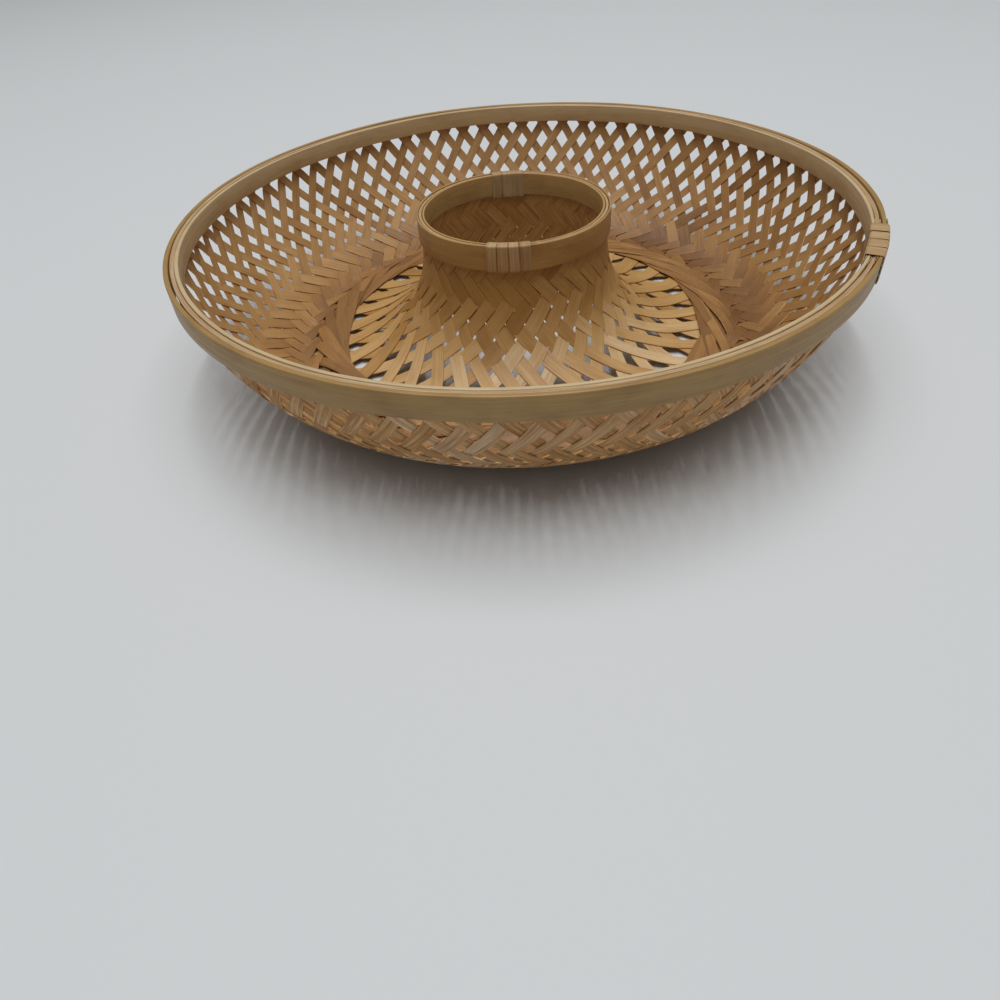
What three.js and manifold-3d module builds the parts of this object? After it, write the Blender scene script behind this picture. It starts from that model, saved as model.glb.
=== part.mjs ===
// Bamboo serving basket: a round bowl woven of flat strips, with a trumpet-shaped cone of the
// same strips standing in its middle. Hoops grip the top edge of the bowl and of the cone, and
// flat lashings bind each set of hoops where the hoop ends overlap.
//
// Millimetres and degrees, +Z up. The origin is on the table, under the centre of the rim.

import * as THREE from 'three';
import { mergeVertices } from 'three/addons/utils/BufferGeometryUtils.js';
import Module from 'manifold-3d';

const wasm = await Module();
wasm.setup();

// Overall sizes

const basketRadius = 150;
const basketHeight = 60;
const clearance = 0.3;

// Rim: an outer hoop, an inner hoop and a core strip that covers the strip ends between them

const rimOuterHoopThickness = 2;
const rimOuterHoopHeight = 9.6;
const rimInnerHoopThickness = 1.6;
const rimInnerHoopHeight = 8.4;
const rimInnerHoopDrop = 0.3;
const rimCoreHeight = 1.6;
const rimCoreDrop = 0.4;
const rimScarfAzimuth = 323;
const rimScarfAngle = 26;

// Bowl: strips laid tangent to the base ring, then woven up the wall

const bowlStripCount = 78;
const bowlStripWidth = 5.2;
const bowlWeaveThickness = 1.8;
const bowlStripAngle = 53;
const bowlOpenRows = 5;
const bowlClosedBands = 4;
const bowlFootRadius = 102.5;
const bowlFootHandle = 18;
const bowlRimHandle = 23;
const bowlRimLean = 12.5;

// Base ring: the bundle of strips round the hole in the bowl's bottom

const ringInnerRadius = 84;
const ringOuterRadius = 98.5;
const ringThickness = 2.8;
const ringInnerRise = 0.3;
const footStepWidth = 1.5;

// Cone: fewer strips, tight at the collar and open at the foot, which runs under the base ring

const coneStripCount = 34;
const coneStripWidth = 6;
const coneWeaveThickness = 1.2;
const coneStripAngle = 55;
const coneOpenRows = 3;
const coneOpenRadius = 60;
const coneClosedBands = 5;
const coneFlatRadius = 85;
const coneFootRadius = 99;
const coneFootHandle = 26;
const coneCollarHandle = 31;
const coneOffsetX = -1.6;

// Collar: the same three hoops as the rim, on the top of the cone

const collarRadius = 43;
const collarHeight = 58;
const collarOuterHoopThickness = 0.9;
const collarOuterHoopHeight = 10.6;
const collarInnerHoopThickness = 0.9;
const collarInnerHoopHeight = 9.6;
const collarInnerHoopDrop = 0.2;
const collarCoreHeight = 1.4;
const collarCoreDrop = 0.3;
const collarScarfAzimuth = 250;
const collarScarfAngle = 50;

// Hoops: how far the two ends taper, and how many flats stand for the round

const scarfTipShare = 0.25;
const rimSegments = 78;
const collarSegments = 52;

// Lashings: flat strips wrapped over the hoops and through the weave below them

const lashingThickness = 0.8;
const lashingCornerShare = 0.6;
const rimLashingCount = 4;
const rimLashingWidth = 6.4;
const rimLashingPitch = 2.95;
const rimLashingAzimuth = 336;
const collarFrontLashingCount = 4;
const collarFrontLashingWidth = 3.9;
const collarFrontLashingPitch = 6.3;
const collarFrontLashingAzimuth = 266.5;
const collarBackLashingCount = 3;
const collarBackLashingWidth = 5;
const collarBackLashingPitch = 9;
const collarBackLashingAzimuth = 92;

// Fineness of the shapes

const leastOpenShare = 0.05;
const searchSteps = 2000;
const mergeDistance = 1e-4;

// Worked-out sizes of the rim and the bowl's upper edge

const radians = THREE.MathUtils.degToRad;
const bowlNeckOuterRadius = basketRadius - rimOuterHoopThickness - clearance;
const bowlNeckRadius = bowlNeckOuterRadius - bowlWeaveThickness / 2;
const rimInnerHoopOuterRadius = bowlNeckOuterRadius - bowlWeaveThickness - clearance;
const rimInnerHoopTop = basketHeight - rimInnerHoopDrop;
const rimCoreTop = basketHeight - rimCoreDrop;
const bowlEdgeHeight = rimCoreTop - rimCoreHeight - clearance;
const rimHoopFoot = basketHeight - rimOuterHoopHeight;
const rimBindingFoot = Math.min(rimHoopFoot, rimInnerHoopTop - rimInnerHoopHeight) - clearance;

// Worked-out sizes of the base ring, which lies on the foot of the cone

const ringUnderside = coneWeaveThickness + clearance;
const ringTop = ringUnderside + ringThickness;
const footStepRadius = bowlFootRadius - footStepWidth;

// Worked-out sizes of the collar and the cone's upper edge

const coneNeckOuterRadius = collarRadius - collarOuterHoopThickness - clearance;
const coneNeckRadius = coneNeckOuterRadius - coneWeaveThickness / 2;
const collarInnerHoopOuterRadius = coneNeckOuterRadius - coneWeaveThickness - clearance;
const collarInnerHoopTop = collarHeight - collarInnerHoopDrop;
const collarCoreTop = collarHeight - collarCoreDrop;
const coneEdgeHeight = collarCoreTop - collarCoreHeight - clearance;
const collarHoopFoot = collarHeight - collarOuterHoopHeight;
const collarBindingFoot = Math.min(collarHoopFoot, collarInnerHoopTop - collarInnerHoopHeight) - clearance;

// Materials

function bamboo(colour, roughness) {
  return new THREE.MeshStandardMaterial({ color: colour, roughness, metalness: 0 });
}

const weaveBamboo = bamboo(0xb68b58, 0.7);
const hoopBamboo = bamboo(0xc2a173, 0.5);
const coreBamboo = bamboo(0xcdb084, 0.75);
const lashingBamboo = bamboo(0xb99763, 0.6);

// Solids in and out of the cutting library

function toManifold(geometry) {
  const bare = geometry.clone();
  bare.deleteAttribute('normal');
  bare.deleteAttribute('uv');
  const merged = mergeVertices(bare, mergeDistance);
  return new wasm.Manifold(new wasm.Mesh({
    numProp: 3,
    vertProperties: new Float32Array(merged.attributes.position.array),
    triVerts: new Uint32Array(merged.index.array),
  }));
}

function toGeometry(manifold) {
  const mesh = manifold.getMesh();
  const geometry = new THREE.BufferGeometry();
  geometry.setAttribute('position', new THREE.BufferAttribute(mesh.vertProperties, 3));
  geometry.setIndex(new THREE.BufferAttribute(mesh.triVerts, 1));
  geometry.computeVertexNormals();
  return geometry;
}

// Profiles: half sections in radius and height, from the foot of a wall to its top edge

function point(radius, height) {
  return new THREE.Vector2(radius, height);
}

function bowlProfile() {
  const foot = point(bowlFootRadius, bowlWeaveThickness / 2);
  const hoopEdge = point(bowlNeckRadius, rimHoopFoot);
  const lean = radians(bowlRimLean);
  const footHandle = point(foot.x + bowlFootHandle, foot.y);
  const rimHandle = point(
    hoopEdge.x - bowlRimHandle * Math.sin(lean),
    hoopEdge.y - bowlRimHandle * Math.cos(lean),
  );
  const profile = new THREE.CurvePath();
  profile.add(new THREE.CubicBezierCurve(foot, footHandle, rimHandle, hoopEdge));
  profile.add(new THREE.LineCurve(hoopEdge, point(bowlNeckRadius, bowlEdgeHeight)));
  return profile;
}

function coneProfile() {
  const mid = coneWeaveThickness / 2;
  const flat = point(coneFlatRadius, mid);
  const hoopEdge = point(coneNeckRadius, collarHoopFoot);
  const profile = new THREE.CurvePath();
  profile.add(new THREE.LineCurve(point(coneFootRadius, mid), flat));
  profile.add(new THREE.CubicBezierCurve(
    flat,
    point(coneFlatRadius - coneFootHandle, mid),
    point(coneNeckRadius, collarHoopFoot - coneCollarHandle),
    hoopEdge,
  ));
  profile.add(new THREE.LineCurve(hoopEdge, point(coneNeckRadius, coneEdgeHeight)));
  return profile;
}

function profilePoint(profile, arc) {
  return profile.getPoint(THREE.MathUtils.clamp(arc / profile.getLength(), 0, 1));
}

function arcWhere(profile, passed) {
  const length = profile.getLength();
  for (let i = 0; i <= searchSteps; i += 1) {
    const arc = (length * i) / searchSteps;
    if (passed(profilePoint(profile, arc))) return arc;
  }
  return length;
}

// Rows of crossings: where the two families of slanting strips meet, one half pitch apart in turn

function crossingRows(profile, start, number, strips, angle, direction) {
  const rows = [start];
  for (let i = 1; i < number; i += 1) {
    const last = rows[rows.length - 1];
    const halfPitch = (Math.PI / strips) * profilePoint(profile, last).x;
    rows.push(last + direction * halfPitch * Math.tan(radians(angle)));
  }
  return rows;
}

function evenRows(from, to, bands) {
  const rows = [];
  for (let i = 1; i < bands; i += 1) rows.push(from + ((to - from) * i) / bands);
  return rows;
}

// Share of a lattice cell that is left open between the strips
function openShare(radius, strips, width, angle) {
  const pitch = (2 * Math.PI * radius) / strips;
  return Math.max(1 - width / (pitch * Math.sin(radians(angle))), leastOpenShare);
}

// A wall of revolution with a diamond opening in each cell of its open rows.
// Faces: +1 lies on the left of the profile, which runs from the foot to the top, -1 on the right.

function wovenShell({ profile, strips, stripWidth, angle, thickness, rows, openRows, footLoop }) {
  const positions = [];
  const length = profile.getLength();
  const pitch = (2 * Math.PI) / strips;

  // A point of the half section, turned round to a column
  function turned(stop, column) {
    const azimuth = column * pitch;
    return new THREE.Vector3(stop.x * Math.cos(azimuth), stop.x * Math.sin(azimuth), stop.y);
  }

  function at(column, arc, face) {
    const middle = profilePoint(profile, arc);
    const tangent = profile.getTangent(THREE.MathUtils.clamp(arc / length, 0, 1));
    const offset = (face * thickness) / 2;
    return turned(point(middle.x - tangent.y * offset, middle.y + tangent.x * offset), column);
  }

  function polygon(corners) {
    for (let i = 1; i + 1 < corners.length; i += 1) {
      for (const corner of [corners[0], corners[i], corners[i + 1]]) positions.push(...corner.toArray());
    }
  }

  // Corners are [column, arc], counter-clockwise as seen from the right of the profile.
  function facets(corners) {
    const right = corners.map(([column, arc]) => at(column, arc, -1));
    const left = corners.map(([column, arc]) => at(column, arc, 1));
    polygon(right);
    polygon(left.reverse());
  }

  // A wall through the thickness, with the open space on the left of the way from a to b.
  function edge(a, b) {
    polygon([at(...a, -1), at(...b, -1), at(...b, 1), at(...a, 1)]);
  }

  // Half of a lattice cell: base on its own row, apex on the next row up or down.
  function halfCell(column, row, nextRow) {
    const base = rows[row];
    const tip = rows[nextRow];
    const left = [column, base];
    const right = [column + 1, base];
    const apex = [column + 0.5, tip];
    const rising = tip > base;
    if (!openRows.has(row)) {
      facets(rising ? [left, right, apex] : [left, apex, right]);
      return;
    }
    const share = openShare(profilePoint(profile, base).x, strips, stripWidth, angle);
    const holeLeft = [column + 0.5 - share / 2, base];
    const holeRight = [column + 0.5 + share / 2, base];
    const holeTip = [column + 0.5, base + share * (tip - base)];
    if (rising) {
      facets([left, holeLeft, holeTip, apex]);
      facets([apex, holeTip, holeRight, right]);
      edge(holeRight, holeTip);
      edge(holeTip, holeLeft);
    } else {
      facets([left, apex, holeTip, holeLeft]);
      facets([apex, right, holeRight, holeTip]);
      edge(holeLeft, holeTip);
      edge(holeTip, holeRight);
    }
  }

  const phase = (row) => (row % 2) / 2;
  for (let row = 0; row + 1 < rows.length; row += 1) {
    for (let i = 0; i < strips; i += 1) {
      halfCell(i + phase(row), row, row + 1);
      halfCell(i + phase(row + 1), row + 1, row);
    }
  }

  const last = rows.length - 1;
  for (let i = 0; i < strips; i += 1) {
    const column = i + phase(last);
    edge([column, rows[last]], [column + 1, rows[last]]);
  }

  // The foot closes along a loop of rings, from the right face round to the left face.
  for (let i = 0; i < strips; i += 1) {
    const stops = [
      [at(i + 1, rows[0], -1), at(i, rows[0], -1)],
      ...footLoop.map((stop) => [turned(stop, i + 1), turned(stop, i)]),
      [at(i + 1, rows[0], 1), at(i, rows[0], 1)],
    ];
    for (let k = 0; k + 1 < stops.length; k += 1) {
      polygon([stops[k][0], stops[k][1], stops[k + 1][1], stops[k + 1][0]]);
    }
  }

  const geometry = new THREE.BufferGeometry();
  geometry.setAttribute('position', new THREE.Float32BufferAttribute(positions, 3));
  return geometry;
}

// The woven bowl, with its base ring and a slot under the rim for each lashing

function bowlShell() {
  const profile = bowlProfile();
  const hoopArc = arcWhere(profile, (p) => p.y >= rimHoopFoot - clearance);
  const lattice = crossingRows(profile, hoopArc, bowlOpenRows + 2, bowlStripCount, bowlStripAngle, -1);
  lattice.reverse();
  const rows = [0, ...evenRows(0, lattice[0], bowlClosedBands), ...lattice, profile.getLength()];
  const firstOpen = rows.indexOf(lattice[1]);
  const openRows = new Set();
  for (let i = 0; i < bowlOpenRows; i += 1) openRows.add(firstOpen + i);
  const footLoop = [
    point(footStepRadius, 0),
    point(footStepRadius, ringUnderside),
    point(ringInnerRadius, ringUnderside),
    point(ringInnerRadius, ringTop + ringInnerRise),
    point(ringOuterRadius, ringTop),
  ];
  return wovenShell({
    profile,
    strips: bowlStripCount,
    stripWidth: bowlStripWidth,
    angle: bowlStripAngle,
    thickness: bowlWeaveThickness,
    rows,
    openRows,
    footLoop,
  });
}

// The woven cone: closed under the collar, open above the table, flat under the base ring

function coneShell() {
  const profile = coneProfile();
  const openArc = arcWhere(profile, (p) => p.x <= coneOpenRadius);
  const down = crossingRows(profile, openArc, coneOpenRows + 1, coneStripCount, coneStripAngle, -1);
  const up = crossingRows(profile, openArc, 2, coneStripCount, coneStripAngle, 1);
  const lattice = [...down.reverse(), up[1]];
  const hoopArc = arcWhere(profile, (p) => p.y >= collarHoopFoot);
  const rows = [
    0,
    ...lattice,
    ...evenRows(up[1], hoopArc, coneClosedBands),
    hoopArc,
    profile.getLength(),
  ];
  const firstOpen = rows.indexOf(lattice[1]);
  const openRows = new Set();
  for (let i = 0; i < coneOpenRows; i += 1) openRows.add(firstOpen + i);
  return wovenShell({
    profile,
    strips: coneStripCount,
    stripWidth: coneStripWidth,
    angle: coneStripAngle,
    thickness: coneWeaveThickness,
    rows,
    openRows,
    footLoop: [],
  });
}

// Hoops

// A strip bent round into a hoop, its two tapered ends lying one over the other.
function scarfedHoop({ outerRadius, thickness, top, height, scarfAzimuth, scarfAngle, segments }) {
  const innerRadius = outerRadius - thickness;
  const tip = thickness * scarfTipShare;
  const start = radians(scarfAzimuth);
  const overlap = radians(scarfAngle);
  const turn = 2 * Math.PI;
  const scarfSegments = Math.max(Math.round((segments * scarfAngle) / 360), 2);
  const corners = [];
  const put = (radius, azimuth) => corners.push([radius * Math.cos(azimuth), radius * Math.sin(azimuth)]);
  const cut = (share) => innerRadius + thickness * share;
  const gap = clearance / 2;

  // Inside of the cut, from the thin tip of the inner end to its full thickness
  const thin = (tip + gap) / thickness;
  for (let i = 0; i <= scarfSegments; i += 1) {
    const share = thin + ((1 - thin) * i) / scarfSegments;
    put(cut(share) - gap, start + overlap * share);
  }
  // Outer face, all the way round to the thin tip of the outer end
  const outerFrom = start + overlap;
  const outerTo = start + turn + overlap * (1 - thin);
  for (let i = 0; i <= segments; i += 1) {
    put(outerRadius, outerFrom + ((outerTo - outerFrom) * i) / segments);
  }
  // Outside of the cut, back to where the outer end has its full thickness
  for (let i = 0; i <= scarfSegments; i += 1) {
    const share = (1 - thin) * (1 - i / scarfSegments);
    put(cut(share) + gap, start + turn + overlap * share);
  }
  // Inner face, all the way back
  const innerFrom = start + turn;
  const innerTo = start + overlap * thin;
  for (let i = 0; i <= segments; i += 1) {
    put(innerRadius, innerFrom + ((innerTo - innerFrom) * i) / segments);
  }
  const shape = new THREE.Shape(corners.map(([x, y]) => new THREE.Vector2(x, y)));
  const geometry = new THREE.ExtrudeGeometry(shape, { depth: height, bevelEnabled: false, steps: 1 });
  geometry.translate(0, 0, top - height);
  return geometry;
}

// A narrow strip that fills the space between two hoops, above the cut ends of the weave
function coreStrip(outerRadius, thickness, top, height, segments) {
  const innerRadius = outerRadius - thickness;
  const section = [
    point(innerRadius, top - height),
    point(outerRadius, top - height),
    point(outerRadius, top),
    point(innerRadius, top),
    point(innerRadius, top - height),
  ];
  const geometry = new THREE.LatheGeometry(section, segments);
  geometry.rotateX(Math.PI / 2);
  return geometry;
}

// Lashings

// One wrap of a lashing: a flat strip closed round a box of hoops, in the plane of the axis.
function wrap({ inner, outer, foot, top, width, azimuth }) {
  const corner = lashingThickness * lashingCornerShare;
  const shape = new THREE.Shape();
  const low = foot - lashingThickness;
  const high = top + lashingThickness;
  const near = inner - lashingThickness;
  const far = outer + lashingThickness;
  shape.moveTo(near + corner, low);
  shape.lineTo(far - corner, low);
  shape.lineTo(far, low + corner);
  shape.lineTo(far, high - corner);
  shape.lineTo(far - corner, high);
  shape.lineTo(near + corner, high);
  shape.lineTo(near, high - corner);
  shape.lineTo(near, low + corner);
  shape.closePath();
  const inside = new THREE.Path();
  inside.moveTo(inner, foot);
  inside.lineTo(inner, top);
  inside.lineTo(outer, top);
  inside.lineTo(outer, foot);
  inside.closePath();
  shape.holes.push(inside);
  const geometry = new THREE.ExtrudeGeometry(shape, { depth: width, bevelEnabled: false, steps: 1 });
  geometry.rotateX(Math.PI / 2);
  geometry.translate(0, width / 2, 0);
  geometry.rotateZ(radians(azimuth));
  return geometry;
}

// The slot that a wrap needs in the weave, with room round its lower run
function wrapSlot({ inner, outer, foot, width, azimuth }) {
  const height = lashingThickness + 2 * clearance;
  const depth = outer - inner;
  const geometry = new THREE.BoxGeometry(depth, width + 2 * clearance, height);
  geometry.translate(inner + depth / 2, 0, foot - lashingThickness / 2);
  geometry.rotateZ(radians(azimuth));
  return geometry;
}

function wrapAzimuths(middle, count, pitch) {
  const azimuths = [];
  for (let i = 0; i < count; i += 1) azimuths.push(middle + (i - (count - 1) / 2) * pitch);
  return azimuths;
}

function rimWraps() {
  // A flat wrap clears a round hoop by the hoop's rise over the wrap's half width.
  const rise = rimLashingWidth ** 2 / (8 * basketRadius);
  return wrapAzimuths(rimLashingAzimuth, rimLashingCount, rimLashingPitch).map((azimuth) => ({
    inner: rimInnerHoopOuterRadius - rimInnerHoopThickness - clearance - rise,
    outer: basketRadius + clearance,
    foot: rimBindingFoot,
    top: basketHeight + clearance,
    width: rimLashingWidth,
    azimuth,
  }));
}

function collarWraps(middle, count, pitch, width) {
  const rise = width ** 2 / (8 * collarRadius);
  return wrapAzimuths(middle, count, pitch).map((azimuth) => ({
    inner: collarInnerHoopOuterRadius - collarInnerHoopThickness - clearance - rise,
    outer: collarRadius + clearance,
    foot: collarBindingFoot,
    top: collarHeight + clearance,
    width,
    azimuth,
  }));
}

// Cuts a slot for each wrap's lower run through the woven wall that it binds.
function slotted(shell, wraps) {
  let solid = toManifold(shell);
  for (const each of wraps) solid = solid.subtract(toManifold(wrapSlot(each)));
  return toGeometry(solid);
}

// Assembly

const basket = new THREE.Group();
const bowl = new THREE.Group();
const cone = new THREE.Group();
cone.position.x = coneOffsetX;
basket.add(bowl, cone);

function add(parent, name, geometry, material) {
  const mesh = new THREE.Mesh(geometry, material);
  mesh.name = name;
  parent.add(mesh);
}

function addWraps(parent, prefix, wraps) {
  wraps.forEach((each, i) => add(parent, `${prefix}_${i + 1}`, wrap(each), lashingBamboo));
}

const rimBinding = rimWraps();
const collarFrontBinding = collarWraps(
  collarFrontLashingAzimuth,
  collarFrontLashingCount,
  collarFrontLashingPitch,
  collarFrontLashingWidth,
);
const collarBackBinding = collarWraps(
  collarBackLashingAzimuth,
  collarBackLashingCount,
  collarBackLashingPitch,
  collarBackLashingWidth,
);

add(bowl, 'bowl_weave', slotted(bowlShell(), rimBinding), weaveBamboo);
add(bowl, 'rim_outer_hoop', scarfedHoop({
  outerRadius: basketRadius,
  thickness: rimOuterHoopThickness,
  top: basketHeight,
  height: rimOuterHoopHeight,
  scarfAzimuth: rimScarfAzimuth,
  scarfAngle: rimScarfAngle,
  segments: rimSegments,
}), hoopBamboo);
add(bowl, 'rim_inner_hoop', scarfedHoop({
  outerRadius: rimInnerHoopOuterRadius,
  thickness: rimInnerHoopThickness,
  top: rimInnerHoopTop,
  height: rimInnerHoopHeight,
  scarfAzimuth: rimScarfAzimuth,
  scarfAngle: rimScarfAngle,
  segments: rimSegments,
}), hoopBamboo);
add(
  bowl,
  'rim_core_strip',
  coreStrip(bowlNeckOuterRadius, bowlWeaveThickness, rimCoreTop, rimCoreHeight, rimSegments),
  coreBamboo,
);
addWraps(bowl, 'rim_lashing', rimBinding);

add(cone, 'cone_weave', slotted(coneShell(), [...collarFrontBinding, ...collarBackBinding]), weaveBamboo);
add(cone, 'collar_outer_hoop', scarfedHoop({
  outerRadius: collarRadius,
  thickness: collarOuterHoopThickness,
  top: collarHeight,
  height: collarOuterHoopHeight,
  scarfAzimuth: collarScarfAzimuth,
  scarfAngle: collarScarfAngle,
  segments: collarSegments,
}), hoopBamboo);
add(cone, 'collar_inner_hoop', scarfedHoop({
  outerRadius: collarInnerHoopOuterRadius,
  thickness: collarInnerHoopThickness,
  top: collarInnerHoopTop,
  height: collarInnerHoopHeight,
  scarfAzimuth: collarScarfAzimuth,
  scarfAngle: collarScarfAngle,
  segments: collarSegments,
}), hoopBamboo);
add(
  cone,
  'collar_core_strip',
  coreStrip(coneNeckOuterRadius, coneWeaveThickness, collarCoreTop, collarCoreHeight, collarSegments),
  coreBamboo,
);
addWraps(cone, 'collar_front_lashing', collarFrontBinding);
addWraps(cone, 'collar_back_lashing', collarBackBinding);

export default basket;
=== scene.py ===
"""A woven bamboo serving basket: a shallow bowl round an open, trumpet-shaped cone.

Both walls are woven of flat strips. Hoops grip the top edge of the bowl and of the cone, and flat
lashings bind the hoops. Lengths are metres and angles are degrees unless a name says otherwise.
The origin is on the table under the centre of the rim, and +Y points away from the camera.
"""

import logging
import math
import random
from contextlib import contextmanager
from dataclasses import dataclass, field
from enum import Enum
from typing import Callable, Iterator, Sequence

import bpy
import numpy as np
from mathutils import Matrix, Vector


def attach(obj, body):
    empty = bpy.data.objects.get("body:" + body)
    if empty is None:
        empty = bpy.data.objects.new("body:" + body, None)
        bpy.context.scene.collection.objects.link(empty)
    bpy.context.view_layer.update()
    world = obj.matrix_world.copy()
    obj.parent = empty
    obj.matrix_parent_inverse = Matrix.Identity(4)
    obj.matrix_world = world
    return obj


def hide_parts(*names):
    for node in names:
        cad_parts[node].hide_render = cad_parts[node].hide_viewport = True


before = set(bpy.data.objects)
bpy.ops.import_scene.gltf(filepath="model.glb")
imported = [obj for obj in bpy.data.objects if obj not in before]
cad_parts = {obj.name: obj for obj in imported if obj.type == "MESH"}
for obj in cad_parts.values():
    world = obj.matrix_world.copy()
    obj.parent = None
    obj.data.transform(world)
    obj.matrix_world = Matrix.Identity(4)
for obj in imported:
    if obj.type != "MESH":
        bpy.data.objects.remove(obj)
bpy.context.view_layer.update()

logging.basicConfig(level=logging.INFO, format="%(message)s")
LOG = logging.getLogger("basket")

MM = 0.001
BODY = "root"
GRAIN_UV = "grain"
SEED_ATTRIBUTE = "strip_seed"

Array = np.ndarray
Span = tuple[float, float]
Table = tuple[tuple[float, float], ...]
Shade = tuple[int, int, int]


def linear(red: int, green: int, blue: int) -> tuple[float, float, float, float]:
    """Turns a display colour into the linear one that a shader takes.

    Args:
        red, green, blue: Display values from 0 to 255.

    Returns:
        Linear red, green, blue and an alpha of 1.
    """
    def channel(value: int) -> float:
        """One channel by the sRGB rule."""
        share = value / 255
        return share / 12.92 if share <= 0.04045 else ((share + 0.055) / 1.055) ** 2.4

    return channel(red), channel(green), channel(blue), 1.0


def smoothstep(low: float, high: float, value: Array) -> Array:
    """Eases from 0 at low to 1 at high.

    Args:
        low, high: Where the ease starts and ends.
        value: The values to ease.

    Returns:
        The eased shares, each from 0 to 1.
    """
    share = np.clip((value - low) / (high - low), 0.0, 1.0)
    return share * share * (3.0 - 2.0 * share)


# Materials


class Side(Enum):
    """Which face of a split bamboo strip is seen, and the attribute that holds its shade."""

    SKIN = "skin_tone"
    PITH = "pith_tone"


class Socket(Enum):
    """What a socket of a node group carries."""

    NUMBER = "NodeSocketFloat"
    COLOUR = "NodeSocketColor"


@dataclass(frozen=True)
class Mark:
    """One kind of dark mark on the bamboo: a noise drawn out along the fibres.

    Attributes:
        along, across: Scale of the noise along and across the fibres.
        shift: Sets the noise apart from the others.
        detail, roughness: How fine and how rough it is.
        low, high: Values of the noise where the mark begins and where it is full.
        shade: Display colour of the mark.
        strength: Input of the tone group that says how strong it is.
    """

    along: float
    across: float
    shift: float
    detail: float
    roughness: float
    low: float
    high: float
    shade: Shade
    strength: str


FIBRE_STRENGTH = "Fibre strength"
STAIN_STRENGTH = "Stain strength"
MARKS = {
    "Fibre": Mark(70.0, 4200.0, 0.0, 4.0, 0.6, 0.34, 0.66, (150, 104, 58), FIBRE_STRENGTH),
    "Streak": Mark(18.0, 900.0, 5.0, 3.0, 0.5, 0.32, 0.68, (172, 128, 78), FIBRE_STRENGTH),
    "Blotch": Mark(45.0, 120.0, 11.0, 3.0, 0.55, 0.42, 0.72, (150, 110, 66), STAIN_STRENGTH),
    "Fleck": Mark(260.0, 2600.0, 17.0, 2.0, 0.5, 0.64, 0.74, (92, 56, 28), STAIN_STRENGTH),
}


@dataclass(frozen=True)
class BambooFinish:
    """The look of one kind of bamboo surface.

    Attributes:
        name: Material name.
        shades: Display colours from the darkest strip to the palest.
        roughness: Base roughness.
        fibre: How strongly the fibres darken the colour, from 0 to 1.
        relief: Height of the fibres.
        stain: How strongly blotches darken the colour, from 0 to 1.
        coat: Strength of the natural gloss.
        side: Which face of the bamboo it is.
    """

    name: str
    shades: tuple[Shade, ...]
    roughness: float
    fibre: float
    relief: float
    stain: float
    coat: float
    side: Side = Side.SKIN


# The two darkest shades show only where painted shade darkens the bowl's upper side.
STRIP_SKIN = BambooFinish(
    "strip_skin",
    ((118, 78, 34), (138, 99, 52), (164, 122, 68), (182, 142, 85), (197, 158, 102),
     (211, 176, 124), (229, 202, 158)),
    roughness=0.52, fibre=0.22, relief=0.05 * MM, stain=0.25, coat=0.12,
)
STRIP_PITH = BambooFinish(
    "strip_pith",
    ((160, 118, 58), (200, 157, 92), (224, 184, 119), (238, 202, 142), (247, 217, 168),
     (252, 230, 194)),
    roughness=0.78, fibre=0.65, relief=0.2 * MM, stain=0.25, coat=0.0, side=Side.PITH,
)
CONE_SKIN = BambooFinish(
    "cone_skin",
    ((150, 107, 46), (174, 132, 68), (190, 151, 88), (203, 166, 107), (212, 181, 130),
     (226, 201, 156)),
    roughness=0.52, fibre=0.22, relief=0.05 * MM, stain=0.25, coat=0.12,
)
CONE_PITH = BambooFinish(
    "cone_pith", ((186, 132, 66), (208, 156, 82), (222, 174, 98), (234, 194, 120)),
    roughness=0.78, fibre=0.35, relief=0.12 * MM, stain=0.3, coat=0.0, side=Side.PITH,
)
# Paler than the other hoops: partly the inner hoop's own greyish colour, partly painted sheen, a
# reflection of a bright room on its glossy inner face.
INNER_HOOP_SKIN_AND_SHEEN = BambooFinish(
    "inner_hoop_skin_and_sheen", ((190, 166, 122), (204, 182, 139), (214, 194, 153), (224, 205, 166)),
    roughness=0.42, fibre=0.16, relief=0.03 * MM, stain=0.22, coat=0.2,
)
HOOP_SKIN = BambooFinish(
    "hoop_skin", ((147, 114, 60), (166, 133, 75), (178, 145, 84), (192, 159, 99)),
    roughness=0.46, fibre=0.18, relief=0.03 * MM, stain=0.3, coat=0.15,
)
COLLAR_SKIN = BambooFinish(
    "collar_skin", ((160, 122, 66), (180, 142, 81), (193, 155, 93), (206, 169, 108)),
    roughness=0.46, fibre=0.2, relief=0.03 * MM, stain=0.3, coat=0.15,
)
CORE_EDGE = BambooFinish(
    "core_edge", ((176, 147, 104), (197, 170, 127), (211, 186, 145), (223, 202, 164)),
    roughness=0.62, fibre=0.45, relief=0.1 * MM, stain=0.2, coat=0.05,
)
LASHING_SKIN = BambooFinish(
    "lashing_skin", ((158, 126, 80), (180, 148, 102), (196, 166, 120), (210, 184, 140)),
    roughness=0.5, fibre=0.3, relief=0.05 * MM, stain=0.3, coat=0.12,
)


def feed(tree: bpy.types.NodeTree, node: bpy.types.Node, inputs: dict[int | str, object]) -> None:
    """Gives a node its inputs.

    Args:
        tree: The tree that holds the node.
        node: The node.
        inputs: An output to link, or a plain value to set, for the place or name of each input.
    """
    for label, value in inputs.items():
        if isinstance(value, bpy.types.NodeSocket):
            tree.links.new(value, node.inputs[label])
        else:
            node.inputs[label].default_value = value


def add_node(
    tree: bpy.types.NodeTree, kind: str, inputs: dict[int | str, object] | None = None,
    **settings: object,
) -> bpy.types.Node:
    """Adds a node to a tree.

    Args:
        tree: The tree.
        kind: Type of the node, without the words that every type starts with.
        inputs: Its inputs, as feed takes them.
        settings: Its own settings.

    Returns:
        The node.
    """
    node = tree.nodes.new("ShaderNode" + kind)
    for name, value in settings.items():
        setattr(node, name, value)
    feed(tree, node, inputs or {})
    return node


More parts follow.
